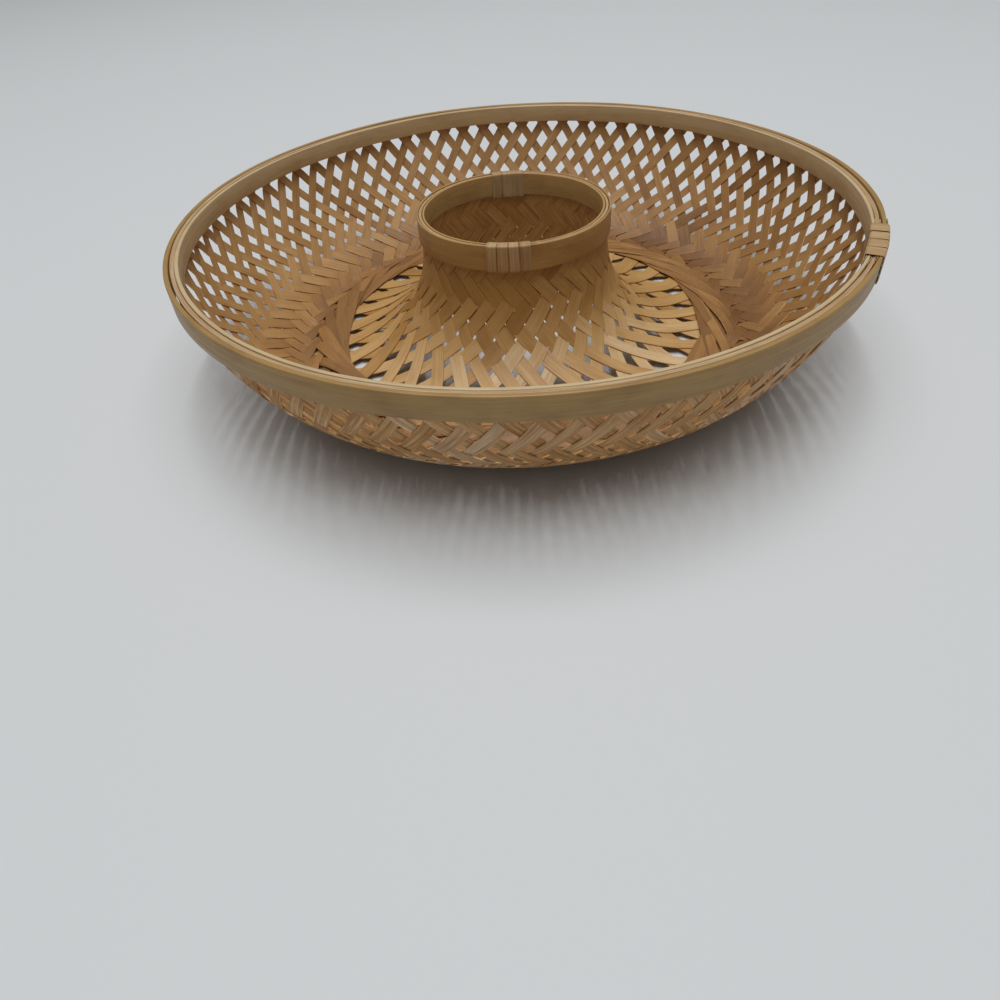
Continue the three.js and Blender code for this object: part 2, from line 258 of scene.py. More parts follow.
class BambooShaders:
    """Builds the shared node groups once, and a material from each finish.

    Attributes:
        SEED_STEP: How far apart the noises of two strips lie.
        MARK_GAIN: How much a mark's shade is brightened before it multiplies the colour.
        ROUGHNESS_SPREAD: Change of roughness at the smoothest and the roughest places.
        COAT_ROUGHNESS: Roughness of the gloss.
        FIBRE_BUMP: Strength of the fibres' relief.
    """

    SEED_STEP = 37.0
    MARK_GAIN = 1.35
    ROUGHNESS_SPREAD = (-0.08, 0.14)
    COAT_ROUGHNESS = 0.3
    FIBRE_BUMP = 0.7

    def __init__(self) -> None:
        """Builds the groups."""
        self.fibres = self._fibre_group()
        self.tones = self._tone_group()
        self.made: dict[str, bpy.types.Material] = {}

    @staticmethod
    def _group(
        name: str, inputs: dict[str, Socket], outputs: dict[str, Socket],
    ) -> tuple[bpy.types.NodeTree, bpy.types.Node, bpy.types.Node]:
        """Makes an empty node group.

        Args:
            name: Group name.
            inputs: What each input carries.
            outputs: What each output carries.

        Returns:
            The group, its input node and its output node.
        """
        group = bpy.data.node_groups.new(name, "ShaderNodeTree")
        for way, sockets in (("INPUT", inputs), ("OUTPUT", outputs)):
            for label, kind in sockets.items():
                group.interface.new_socket(label, in_out=way, socket_type=kind.value)
        return group, group.nodes.new("NodeGroupInput"), group.nodes.new("NodeGroupOutput")

    @staticmethod
    def _math(
        tree: bpy.types.NodeTree, operation: str, first: object, second: object,
    ) -> bpy.types.NodeSocket:
        """Adds a math node and gives its output; each operand is an output or a number."""
        return add_node(tree, "Math", {0: first, 1: second}, operation=operation).outputs[0]

    def _fibre_group(self) -> bpy.types.NodeTree:
        """Turns a place on a strip into masks of its marks.

        Returns:
            The group.
        """
        group, source, sink = self._group(
            "bamboo_fibres",
            {label: Socket.NUMBER for label in ("Along", "Across", "Seed")},
            {label: Socket.NUMBER for label in MARKS},
        )
        offset = self._math(group, "MULTIPLY", source.outputs["Seed"], self.SEED_STEP)
        for label, mark in MARKS.items():
            place = add_node(group, "CombineXYZ", {
                0: self._math(group, "MULTIPLY", source.outputs["Along"], mark.along),
                1: self._math(group, "MULTIPLY", source.outputs["Across"], mark.across),
                2: self._math(group, "ADD", offset, mark.shift),
            })
            noise = add_node(group, "TexNoise", {
                "Vector": place.outputs[0], "Scale": 1.0, "Detail": mark.detail,
                "Roughness": mark.roughness,
            })
            mask = add_node(
                group, "MapRange",
                {"Value": noise.outputs[0], "From Min": mark.low, "From Max": mark.high},
                interpolation_type="SMOOTHSTEP",
            )
            feed(group, sink, {label: mask.outputs["Result"]})
        return group

    def _tone_group(self) -> bpy.types.NodeTree:
        """Darkens a base colour by the masks.

        Returns:
            The group.
        """
        numbers = {label: Socket.NUMBER for label in (*MARKS, FIBRE_STRENGTH, STAIN_STRENGTH)}
        group, source, sink = self._group(
            "bamboo_tone", {"Base": Socket.COLOUR, **numbers}, {"Color": Socket.COLOUR},
        )
        colour = source.outputs["Base"]
        for label, mark in MARKS.items():
            amount = self._math(
                group, "MULTIPLY", source.outputs[label], source.outputs[mark.strength],
            )
            dark = [min(1.0, value * self.MARK_GAIN) for value in linear(*mark.shade)]
            # A colour mix has its two colours at places 6 and 7.
            mix = add_node(
                group, "Mix", {"Factor": amount}, data_type="RGBA", blend_type="MULTIPLY",
            )
            feed(group, mix, {6: colour, 7: dark})
            colour = mix.outputs[2]
        feed(group, sink, {"Color": colour})
        return group

    def material(self, finish: BambooFinish) -> bpy.types.Material:
        """Makes, or finds, the material of a finish.

        Args:
            finish: The look to build.

        Returns:
            The material.
        """
        if finish.name in self.made:
            return self.made[finish.name]
        material = bpy.data.materials.new(finish.name)
        material.use_nodes = True
        tree = material.node_tree

        grain = add_node(tree, "UVMap", uv_map=GRAIN_UV)
        place = add_node(tree, "SeparateXYZ", {0: grain.outputs[0]})
        seed = add_node(tree, "Attribute", attribute_name=SEED_ATTRIBUTE)
        tone = add_node(tree, "Attribute", attribute_name=finish.side.value)
        fibres = add_node(tree, "Group", {
            "Along": place.outputs[0], "Across": place.outputs[1], "Seed": seed.outputs["Fac"],
        }, node_tree=self.fibres)

        ramp = add_node(tree, "ValToRGB", {0: tone.outputs["Fac"]})
        stops = ramp.color_ramp.elements
        while len(stops) < len(finish.shades):
            stops.new(0.5)
        for index, shade in enumerate(finish.shades):
            stops[index].position = index / (len(finish.shades) - 1)
            stops[index].color = linear(*shade)

        tones = add_node(tree, "Group", {
            "Base": ramp.outputs[0], FIBRE_STRENGTH: finish.fibre, STAIN_STRENGTH: finish.stain,
            **{label: fibres.outputs[label] for label in MARKS},
        }, node_tree=self.tones)
        smoothest, roughest = (finish.roughness + change for change in self.ROUGHNESS_SPREAD)
        rough = add_node(tree, "MapRange", {
            "Value": fibres.outputs["Streak"], "To Min": smoothest, "To Max": roughest,
        })
        bump = add_node(tree, "Bump", {
            "Height": fibres.outputs["Fibre"], "Strength": self.FIBRE_BUMP,
            "Distance": finish.relief,
        })
        feed(tree, tree.nodes["Principled BSDF"], {
            "Base Color": tones.outputs["Color"], "Roughness": rough.outputs[0],
            "Normal": bump.outputs[0], "Coat Weight": finish.coat,
            "Coat Roughness": self.COAT_ROUGHNESS,
        })
        self.made[finish.name] = material
        return material


# Shared modelling steps


def deselect_all() -> None:
    """Leaves nothing selected, in object mode."""
    if bpy.context.object is not None and bpy.context.object.mode != "OBJECT":
        bpy.ops.object.mode_set(mode="OBJECT")
    bpy.ops.object.select_all(action="DESELECT")


def activate(piece: bpy.types.Object, *others: bpy.types.Object) -> None:
    """Selects objects and makes the first one active.

    Args:
        piece: The object to make active.
        others: Objects to select with it.
    """
    deselect_all()
    for each in (piece, *others):
        each.select_set(True)
    bpy.context.view_layer.objects.active = piece


@contextmanager
def editing(selection: str | None = None) -> Iterator[None]:
    """Holds the active object in edit mode.

    Args:
        selection: SELECT or DESELECT for all of the mesh, or None to leave what is selected.

    Yields:
        Nothing; the object goes back to object mode afterwards.
    """
    bpy.ops.object.mode_set(mode="EDIT")
    if selection:
        bpy.ops.mesh.select_all(action=selection)
    yield
    bpy.ops.object.mode_set(mode="OBJECT")


def coordinates(piece: bpy.types.Object) -> Array:
    """Reads an object's own vertex positions.

    Args:
        piece: A mesh object.

    Returns:
        An array of one row of x, y and z for each vertex.
    """
    flat = np.empty(len(piece.data.vertices) * 3)
    piece.data.vertices.foreach_get("co", flat)
    return flat.reshape(-1, 3)


def put_coordinates(piece: bpy.types.Object, points: Array) -> None:
    """Writes an object's own vertex positions, one row of x, y and z for each vertex."""
    piece.data.vertices.foreach_set("co", np.asarray(points, float).ravel())
    piece.data.update()


def set_grain(piece: bpy.types.Object, grain: Array) -> None:
    """Gives each vertex its place along and across the bamboo fibres.

    Args:
        piece: A mesh object.
        grain: One row of along and across, in metres, for each vertex.
    """
    mesh = piece.data
    layer = mesh.uv_layers.get(GRAIN_UV) or mesh.uv_layers.new(name=GRAIN_UV)
    corners = np.empty(len(mesh.loops), dtype=np.int32)
    mesh.loops.foreach_get("vertex_index", corners)
    layer.data.foreach_set("uv", grain[corners].ravel())


def set_value(piece: bpy.types.Object, name: str, values: Array | float) -> None:
    """Gives each vertex a number that a material can read.

    Args:
        piece: A mesh object.
        name: Attribute name.
        values: One number for each vertex, or one for all of them.
    """
    mesh = piece.data
    layer = mesh.attributes.get(name) or mesh.attributes.new(name, "FLOAT", "POINT")
    layer.data.foreach_set("value", np.broadcast_to(values, len(mesh.vertices)).astype(float))


def apply_modifiers(piece: bpy.types.Object) -> None:
    """Applies an object's modifiers from the first to the last.

    Args:
        piece: The object.
    """
    activate(piece)
    for modifier in list(piece.modifiers):
        bpy.ops.object.modifier_apply(modifier=modifier.name)


def smooth(piece: bpy.types.Object, angle: float) -> None:
    """Smooths the shading over every edge that turns by less than an angle."""
    activate(piece)
    bpy.ops.object.shade_smooth_by_angle(angle=math.radians(angle))


def finish_piece(piece: bpy.types.Object, nodes: Sequence[str]) -> None:
    """Lets a piece ride on the basket in place of its solids.

    Args:
        piece: The finished object.
        nodes: The solids that it stands for.
    """
    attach(piece, BODY)
    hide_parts(*nodes)
    LOG.info("%s: %d faces", piece.name, len(piece.data.polygons))


# Woven walls


class Profile:
    """Half section of a wall, as radius and height against distance from its top."""

    NORMAL_REACH = 1.5 * MM

    def __init__(self, points: Sequence[tuple[float, float]], facing: int) -> None:
        """Stores the section.

        Args:
            points: Radius and height, from the top of the wall down.
            facing: 1 if the side that is seen from above is on the right going down, -1 if left.
        """
        self.points = np.asarray(points, float)
        steps = np.linalg.norm(np.diff(self.points, axis=0), axis=1)
        self.distance = np.concatenate(([0.0], np.cumsum(steps)))
        self.facing = facing

    def radius(self, distance: Array) -> Array:
        """Radius at each distance from the top."""
        return np.interp(distance, self.distance, self.points[:, 0])

    def height(self, distance: Array) -> Array:
        """Height at each distance from the top."""
        return np.interp(distance, self.distance, self.points[:, 1])

    def normal(self, distance: Array) -> tuple[Array, Array]:
        """Works out the unit normal on the side that is seen from above.

        Args:
            distance: Distances from the top.

        Returns:
            Its radial part and its upward part.
        """
        above, below = distance - self.NORMAL_REACH, distance + self.NORMAL_REACH
        across = self.radius(below) - self.radius(above)
        down = self.height(below) - self.height(above)
        length = np.hypot(across, down) + 1e-12
        return self.facing * down / length, -self.facing * across / length


def bezier(points: Sequence[tuple[float, float]], steps: int) -> list[tuple[float, float]]:
    """Finds points along a cubic curve.

    Args:
        points: Its two ends and two handles, in order.
        steps: How many stretches to cut it into.

    Returns:
        The points, ends included.
    """
    share = np.linspace(0.0, 1.0, steps + 1)[:, None]
    rest = 1 - share
    p0, p1, p2, p3 = (np.array(p) for p in points)
    curve = rest**3 * p0 + 3 * rest**2 * share * p1 + 3 * rest * share**2 * p2 + share**3 * p3
    return [tuple(p) for p in curve]


def read_off(table: Table, distance: Array) -> Array:
    """Values of a table of millimetres and values, at distances in metres."""
    return np.interp(distance / MM, *zip(*table))


@dataclass
class StripPath:
    """One strip's centre line with all that its cross-section needs.

    Attributes:
        azimuth: Azimuth of each point, in radians.
        distance: Distance of each point from the top of the wall.
        lift: Height of each point off the middle of the wall, towards the side that is seen.
        tilt: How far the strip leans sideways, as a slope.
        width: Width at each point.
    """

    azimuth: Array
    distance: Array
    lift: Array
    tilt: Array
    width: Array


@dataclass
class Ribbon:
    """Builds one flat strip that lies on a wall of revolution.

    Attributes:
        profile: The wall's half section.
        columns: How many rows of points lie across the strip.
    """

    profile: Profile
    columns: int = 3

    def build(
        self, path: StripPath, seed: float, skin_tone: Array, pith_tone: Array,
    ) -> bpy.types.Object:
        """Lays a grid of faces along a path.

        Args:
            path: The centre line.
            seed: A number that sets this strip's grain apart.
            skin_tone, pith_tone: Shade of each face along the path, from 0, dark, to 1, pale.

        Returns:
            The strip, one face thick.
        """
        last_row, last_column = len(path.azimuth) - 1, self.columns - 1
        centre, normal = self._frame(path)
        along = np.gradient(centre, axis=0)
        along /= np.linalg.norm(along, axis=1)[:, None]
        side = np.cross(along, normal)
        side /= np.linalg.norm(side, axis=1)[:, None]
        steps = np.linalg.norm(np.diff(centre, axis=0), axis=1)
        travelled = np.concatenate(([0.0], np.cumsum(steps)))

        deselect_all()
        bpy.ops.mesh.primitive_grid_add(
            x_subdivisions=last_row, y_subdivisions=last_column, size=1.0,
        )
        strip = bpy.context.object
        flat = coordinates(strip)
        row = np.rint((flat[:, 0] + 0.5) * last_row).astype(int)
        column = np.rint((flat[:, 1] + 0.5) * last_column).astype(int)
        across = (column / last_column - 0.5) * path.width[row]
        points = centre[row] + side[row] * across[:, None]
        points += normal[row] * (across * path.tilt[row])[:, None]
        put_coordinates(strip, points)
        set_grain(strip, np.column_stack((travelled[row], across)))
        set_value(strip, SEED_ATTRIBUTE, seed)
        for face, tone in ((Side.SKIN, skin_tone), (Side.PITH, pith_tone)):
            set_value(strip, face.value, np.clip(tone, 0.0, 1.0)[row])
        first = strip.data.polygons[0]
        if first.normal.dot(Vector(normal[row[first.vertices[0]]])) < 0:
            activate(strip)
            with editing("SELECT"):
                bpy.ops.mesh.flip_normals()
        return strip

    def _frame(self, path: StripPath) -> tuple[Array, Array]:
        """Places the centre line in space.

        Args:
            path: The centre line.

        Returns:
            Its points, and the wall's normal at each of them.
        """
        out, up = self.profile.normal(path.distance)
        cosine, sine = np.cos(path.azimuth), np.sin(path.azimuth)
        normal = np.column_stack((out * cosine, out * sine, up))
        radius, height = self.profile.radius(path.distance), self.profile.height(path.distance)
        middle = np.column_stack((radius * cosine, radius * sine, height))
        return middle + normal * path.lift[:, None], normal


def turn_steps(
    profile: Profile, slant: Callable[[Array], Array], distance: Array,
) -> tuple[Array, Array]:
    """Works out how far a strip turns on each stretch of its way down a wall.

    Args:
        profile: The wall's half section.
        slant: Gives the slant of the strips, in radians, at each distance from the top.
        distance: Ends of the stretches.

    Returns:
        Middle of each stretch, and the turn on it in radians.
    """
    least_slant = 1e-3
    middle = (distance[1:] + distance[:-1]) / 2
    tangent = np.tan(np.maximum(slant(middle), least_slant))
    return middle, np.diff(distance) / (profile.radius(middle) * tangent)


def even_path(
    profile: Profile, turn: Array, distance: Array, spacing: float,
) -> tuple[Array, Array, Array]:
    """Picks places along a finely cut strip so that they lie evenly.

    Args:
        profile: The wall's half section.
        turn, distance: Turn round the wall and distance from its top, all along the strip.
        spacing: Distance between the picked places.

    Returns:
        Turn, distance from the top and radius of the picked places.
    """
    radius = profile.radius(distance)
    sideways = np.diff(turn) * (radius[1:] + radius[:-1]) / 2
    travelled = np.concatenate(([0.0], np.cumsum(np.hypot(sideways, np.diff(distance)))))
    count = max(int(round(travelled[-1] / spacing)), 8)
    order = np.arange(len(turn))
    keep = np.interp(np.linspace(0.0, travelled[-1], count + 1), travelled, order)
    turn, distance = np.interp(keep, order, turn), np.interp(keep, order, distance)
    return turn, distance, profile.radius(distance)


def handmade(generator: random.Random, places: Array, spread: float, knots: int) -> Array:
    """Makes a smooth random wander.

    Args:
        generator: Seeded source of chance.
        places: Where to read it, from 0 to 1.
        spread: Largest value either way.
        knots: How many values it wanders between.

    Returns:
        The wander at each place.
    """
    values = np.array([generator.uniform(-spread, spread) for _ in range(knots + 1)])
    scaled = np.clip(places, 0.0, 1.0) * knots
    index = np.minimum(scaled.astype(int), knots - 1)
    low, high = values[index], values[index + 1]
    return low + (high - low) * smoothstep(0.0, 1.0, scaled - index)


def woven_lift(row: Array, over: Callable[[int], bool]) -> Array:
    """Works out how a strip swings from over to under between its crossings.

    Args:
        row: Row of crossings, with fractions, at each point.
        over: Tells whether the strip lies over at a whole row.

    Returns:
        1 where it lies over, -1 where it lies under, and between while it crosses the wall.
    """
    swing_start, swing_end = 0.12, 0.88
    low = np.floor(row).astype(int)
    sign = {k: 1.0 if over(k) else -1.0 for k in range(int(low.min()), int(low.max()) + 2)}
    before = np.array([sign[k] for k in low])
    after = np.array([sign[k + 1] for k in low])
    return before + (after - before) * smoothstep(swing_start, swing_end, row - low)


def finish_weave(
    made: list[bpy.types.Object], name: str, thickness: float,
    looks: tuple[BambooFinish, BambooFinish], shaders: BambooShaders,
) -> bpy.types.Object:
    """Joins woven strips, and gives them their thickness and their two faces' materials.

    Args:
        made: The strips, one face thick.
        name: Name of the result.
        thickness: Thickness of a strip.
        looks: Looks of the side that is seen from above and of the other side.
        shaders: Makes the materials.

    Returns:
        The joined strips.
    """
    smooth_angle = 35
    activate(*made)
    bpy.ops.object.join()
    woven = bpy.context.object
    woven.name = name
    woven.data.name = name
    woven.data.materials.clear()
    for look in looks:
        woven.data.materials.append(shaders.material(look))
    solid = woven.modifiers.new("thickness", "SOLIDIFY")
    solid.thickness = thickness
    solid.offset = 0.0
    solid.material_offset = 1
    solid.material_offset_rim = 1
    apply_modifiers(woven)
    smooth(woven, smooth_angle)
    return woven


@dataclass
class WovenBowl:
    """The bowl: each strip comes down the wall, lies along the base ring and climbs the wall again.

    Tables give millimetres from the rim first.

    Attributes:
        strips: How many strips there are.
        strip_widths: Table of the usual width of a strip.
        girths: Least and largest width of a strip, as shares of the usual one.
        front_swell: How much wider, as a share, the strips of the front wall are.
        strip_thickness: Thickness of a strip.
        neck_radius: Radius of the wall between the rim hoops.
        top: Height of the rim.
        edge: Height where the strips are cut off.
        hoop_foot: Height of the rim hoops' lower edge.
        rim_lean: Lean of the wall under the hoops, from upright.
        rim_handle, foot_handle: Lengths that shape the wall's curve at its two ends.
        foot_radius, foot_height: Where the wall turns in to the base ring.
        ring_outer, ring_inner: Radii where the strips lie flat on the ring.
        ring_height: Height of the middle of the ring.
        tangent_radius: Radius that the strips touch at the ring.
        tangents: Least and largest radius, in millimetres, that a single strip touches.
        straight_radius: Radius within which the strips run straight on to the ring.
        wall_radius: Radius beyond which they have the slants of the wall.
        slants: Table of the slant of the strips from level.
        known_distance: Distance from the rim of a row of crossings seen in the picture.
        known_azimuth: Azimuth of a crossing in that row.
        wander, knots: How far a strip wanders round the wall, and between how many values.
        bend: Height of a strip's centre off the wall's middle where it goes over or under.
        low_zone: Radii between which the low part of the wall ends.
        stack: Half the height of the stack of strips on the ring.
        shade_spread: How far the shades of the strips differ.
        skin_tone, pith_tone: Middle shade of the upper and lower side, and how far a strip's own
            shade moves it.
        trough_shade_falls, right_shade_falls: Tables of painted shade, how much darker the upper
            side is
        low in the trough, and on the right-hand side.
        pith_painted_light: Painted light: how much paler the lower side is on the right.
        spacing: Distance between the points along a strip.
        generator: Seeded source of chance.
    """

    strips: int = 78
    strip_widths: Table = (
        (0, 4.5), (30, 4.4), (44, 4.5), (52, 4.8), (58, 5.5), (64, 6.2), (74, 6.1), (80, 4.6),
    )
    girths: Span = (0.93, 1.05)
    front_swell: float = 0.2
    strip_thickness: float = 0.42 * MM
    neck_radius: float = 146.8 * MM
    top: float = 60 * MM
    edge: float = 57.7 * MM
    hoop_foot: float = 50.4 * MM
    rim_lean: float = 12.5
    rim_handle: float = 23 * MM
    foot_handle: float = 18 * MM
    foot_radius: float = 102.5 * MM
    foot_height: float = 1.35 * MM
    ring_outer: float = 96 * MM
    ring_inner: float = 80 * MM
    ring_height: float = 3.3 * MM
    tangent_radius: float = 88 * MM
    tangents: Span = (86.2, 90.6)
    straight_radius: float = 98 * MM
    wall_radius: float = 109 * MM
    slants: Table = (
        (0, 54), (20, 55), (30, 53.5), (40, 51.5), (50, 49.5), (60, 48.5), (70, 47), (80, 46),
    )
    known_distance: float = 48.4 * MM
    known_azimuth: float = 182.45
    wander: float = 0.42
    knots: int = 9
    bend: float = 0.3 * MM
    low_zone: Span = (102 * MM, 112 * MM)
    stack: float = 1.05 * MM
    shade_spread: float = 0.135
    skin_tone: Span = (0.69, 0.65)
    pith_tone: Span = (0.66, 1.4)
    # Painted shade on the upper side: darker low in the trough, and on the right-hand side.
    trough_shade_falls: Table = (
        (20, 0.08), (36, 0.12), (50, 0.12), (61, 0.2), (71, 0.38), (80, 0.46), (94, 0.48),
    )
    right_shade_falls: Table = (
        (20, 0.21), (50, 0.29), (61, 0.33), (71, 0.56), (80, 0.55), (87, 0.41), (94, 0.36),
    )
    # Painted light on the outer face of the right-hand wall.
    pith_painted_light: float = 0.2
    spacing: float = 2.2 * MM
    generator: random.Random = field(default_factory=lambda: random.Random(7))

    def __post_init__(self) -> None:
        """Draws the half section and works out the turn of the strips."""
        wall_steps, foot_steps, step_out, step_in = 120, 12, 1 * MM, 1.5 * MM
        lean = math.radians(self.rim_lean)
        wall = bezier((
            (self.neck_radius, self.hoop_foot),
            (self.neck_radius - self.rim_handle * math.sin(lean),
             self.hoop_foot - self.rim_handle * math.cos(lean)),
            (self.foot_radius + self.foot_handle, self.foot_height),
            (self.foot_radius, self.foot_height),
        ), wall_steps)
        foot = bezier((
            wall[-1],
            (self.foot_radius - 2 * step_out, self.foot_height),
            (self.ring_outer + step_out, self.ring_height),
            (self.ring_outer - step_in, self.ring_height),
        ), foot_steps)
        self.profile = Profile([
            (self.neck_radius, self.top), *wall, *foot[1:], (self.ring_inner, self.ring_height),
        ], facing=1)
        self.pitch = 2 * math.pi / self.strips
        self._tabulate()

    def _slant(self, distance: Array) -> Array:
        """Works out the slant of the strips from level.

        Args:
            distance: Distances from the rim.

        Returns:
            The slants, in radians.
        """
        on_wall = np.radians(read_off(self.slants, distance))
        radius = self.profile.radius(distance)
        straight = np.arccos(np.minimum(self.tangent_radius / radius, 1.0))
        outside = smoothstep(self.straight_radius, self.wall_radius, radius)
        return straight + (on_wall - straight) * outside

    def _tabulate(self) -> None:
        """Works out how far round a strip is when it reaches each distance from the rim.

        The turn on the ring is stretched a little, so that a row of crossings lies at the known
        distance.
        """
        table_points = 12001
        radii = self.profile.points[:, 0]
        inner = float(np.interp(-self.tangent_radius, -radii, self.profile.distance))
        self.table_distance = np.linspace(0.0, inner, table_points)
        middle, turn = turn_steps(self.profile, self._slant, self.table_distance)
        rows = 2 * turn[middle > self.known_distance].sum() / self.pitch
        self.known_row = 2 * round(rows / 2)
        ring = self.profile.radius(middle) < self.straight_radius
        turn[ring] *= 1 + (self.known_row - rows) * self.pitch / 2 / turn[ring].sum()
        travelled = np.concatenate(([0.0], np.cumsum(turn)))
        self.table_turn = travelled[-1] - travelled
        LOG.info("the bowl has %d rows of crossings below the known one", self.known_row)

    def _over(self, row: int) -> bool:
        """Whether the arm that runs down into the ring lies over at a row.

        Args:
            row: The row, counted from the ring.

        Returns:
            True where it lies over.
        """
        rows_of_pairs = 8
        below = self.known_row - row
        return below >= rows_of_pairs or below // 2 % 2 == 0

    @staticmethod
    def _sway(azimuth: Array) -> Array:
        """Works out how far the rows of crossings stray from level.

        Args:
            azimuth: Azimuths in radians.

        Returns:
            The turn of each arm there, in radians.
        """
        reach, crest, count = math.radians(0.3), math.radians(32), 7
        return reach * (np.cos(count * (azimuth - crest)) - np.cos(azimuth))

    def _path(self, index: int, girth: float, tangent: float) -> StripPath:
        """Lays out one strip, from the rim down to the ring and back up to the rim.

        Args:
            index: Which strip it is.
            girth: Its width, as a share of the usual one.
            tangent: Radius that its bottom touches.

        Returns:
            The strip's path.
        """
        path_points, moved_radius, least_space = 4001, 104 * MM, 2 * MM
        pair_zone, pair_shift, pair_steps = (101 * MM, 105.5 * MM), 0.46, 1.5
        high_zone, edge_lean, lean_steps = (104 * MM, 125 * MM), 0.2 * MM, (2.0, 5.0)
        start = float(np.interp(self.top - self.edge, self.table_distance, self.table_turn))
        fine = np.linspace(-start, start, path_points)
        down = np.interp(-np.abs(fine), -self.table_turn, self.table_distance)
        turn, distance, radius = even_path(self.profile, fine, down, self.spacing)
        arriving = turn < 0
        steps = turn / self.pitch
        reach = (turn + start) / (2 * start)
        side = 1 if index % 2 == 0 else -1

        # Each strip is also moved along the wall, so that its bottom touches its own radius.
        near_ring = 1 - smoothstep(self.tangent_radius, moved_radius, radius)
        moved = distance + near_ring * (self.tangent_radius - tangent)
        paired = 1 - smoothstep(*pair_zone, radius)
        pair = pair_shift * self.pitch * side * np.tanh(steps / pair_steps)
        high = smoothstep(*high_zone, radius)
        stray = handmade(self.generator, reach, 1.0, self.knots)
        wander = math.radians(self.wander) * stray * high
        first = math.radians(self.known_azimuth) + self.known_row * self.pitch / 2
        azimuth = first + index * self.pitch + turn + pair * paired + wander
        azimuth += np.where(arriving, 1.0, -1.0) * self._sway(azimuth) * high

        space = self.pitch * radius * np.sin(self._slant(distance))
        space = np.maximum(space, least_space)
        low = 1 - smoothstep(*self.low_zone, radius)
        lean_share = smoothstep(*lean_steps, np.abs(steps)) * low
        tilt = np.where(arriving, -1.0, 1.0) * edge_lean * lean_share / space
        lift = self._lift(steps, radius, low, -side)
        return StripPath(
            azimuth, moved, lift, tilt, self._width(girth, reach, azimuth, distance, space),
        )

    def _lift(self, steps: Array, radius: Array, low: Array, parity: int) -> Array:
        """Works out a strip's height off the middle of the wall.

        Args:
            steps: Turn from the strip's tangent point, in pitches, at each point.
            radius: Radius at each point.
            low: Share by which each point is low on the wall.
            parity: 1 or -1, different for strips next to each other.

        Returns:
            The heights.
        """
        low_bend, parity_height, stack_steps = 0.22 * MM, 0.1 * MM, 4.0
        stack_zone = (93 * MM, 99 * MM)
        row = 2 * np.abs(steps)
        woven = np.where(
            steps < 0, woven_lift(row, self._over), woven_lift(row, lambda k: not self._over(k)),
        )
        on_wall = woven * (self.bend + low_bend * low) + parity_height * parity * low
        on_ring = -self.stack * np.tanh(steps / stack_steps)
        stacked = 1 - smoothstep(*stack_zone, radius)
        return (1 - stacked) * on_wall + stacked * on_ring

    def _width(
        self, girth: float, reach: Array, azimuth: Array, distance: Array, space: Array,
    ) -> Array:
        """Works out a strip's width.

        Args:
            girth: Its width, as a share of the usual one.
            reach: Share of its length at each point.
            azimuth: Azimuth of each point, in radians.
            distance: Distance of each point from the rim.
            space: Space for a strip at each point.

        Returns:
            The widths.
        """
        wander, widest, near_front, start = 0.07, 1.02, (0.35, 0.75), (5 * MM, 12 * MM)
        widths = girth * MM * read_off(self.strip_widths, distance)
        widths *= 1 - wander * handmade(self.generator, reach, 1.0, self.knots)
        front = smoothstep(*near_front, -np.sin(azimuth)) * smoothstep(*start, distance)
        swollen = widths * (1 + self.front_swell * front)
        return np.maximum(widths, np.minimum(swollen, widest * space))

    def _tones(self, path: StripPath, shade: float) -> tuple[Array, Array]:
        """Works out the shades of a strip, with its painted shade and painted light.

        Args:
            path: Its path.
            shade: How much paler than the others it is.

        Returns:
            Shade of its upper and of its lower side at each point.
        """
        most_shaded_azimuth, near_most_shaded, near_right = math.radians(10), (0.1, 0.9), (0.35, 0.7)
        # Painted shade: the upper side darkens low in the trough, and more on the right-hand side.
        painted_shade, right_painted_shade = (read_off(t, path.distance) for t in (self.trough_shade_falls, self.right_shade_falls))
        nearness = np.cos(path.azimuth - most_shaded_azimuth)
        painted_shade += (right_painted_shade - painted_shade) * smoothstep(*near_most_shaded, nearness)
        # Painted light: the lower side is paler on the right-hand side.
        pith_light = self.pith_painted_light * smoothstep(*near_right, np.cos(path.azimuth))
        (skin, skin_share), (pith, pith_share) = self.skin_tone, self.pith_tone
        return skin + skin_share * shade - painted_shade, pith + pith_share * shade + pith_light

    def build(self, shaders: BambooShaders) -> bpy.types.Object:
        """Weaves the bowl.

        Args:
            shaders: Makes the materials.

        Returns:
            The finished object.
        """
        ribbon = Ribbon(self.profile)
        made = []
        for index in range(self.strips):
            girth = self.generator.uniform(*self.girths)
            tangent = self.generator.uniform(*self.tangents) * MM
            shade = self.generator.gauss(0.0, self.shade_spread)
            path = self._path(index, girth, tangent)
            made.append(ribbon.build(path, index + 1.0, *self._tones(path, shade)))
        looks = (STRIP_SKIN, STRIP_PITH)
        return finish_weave(made, "bowl_strips", self.strip_thickness, looks, shaders)


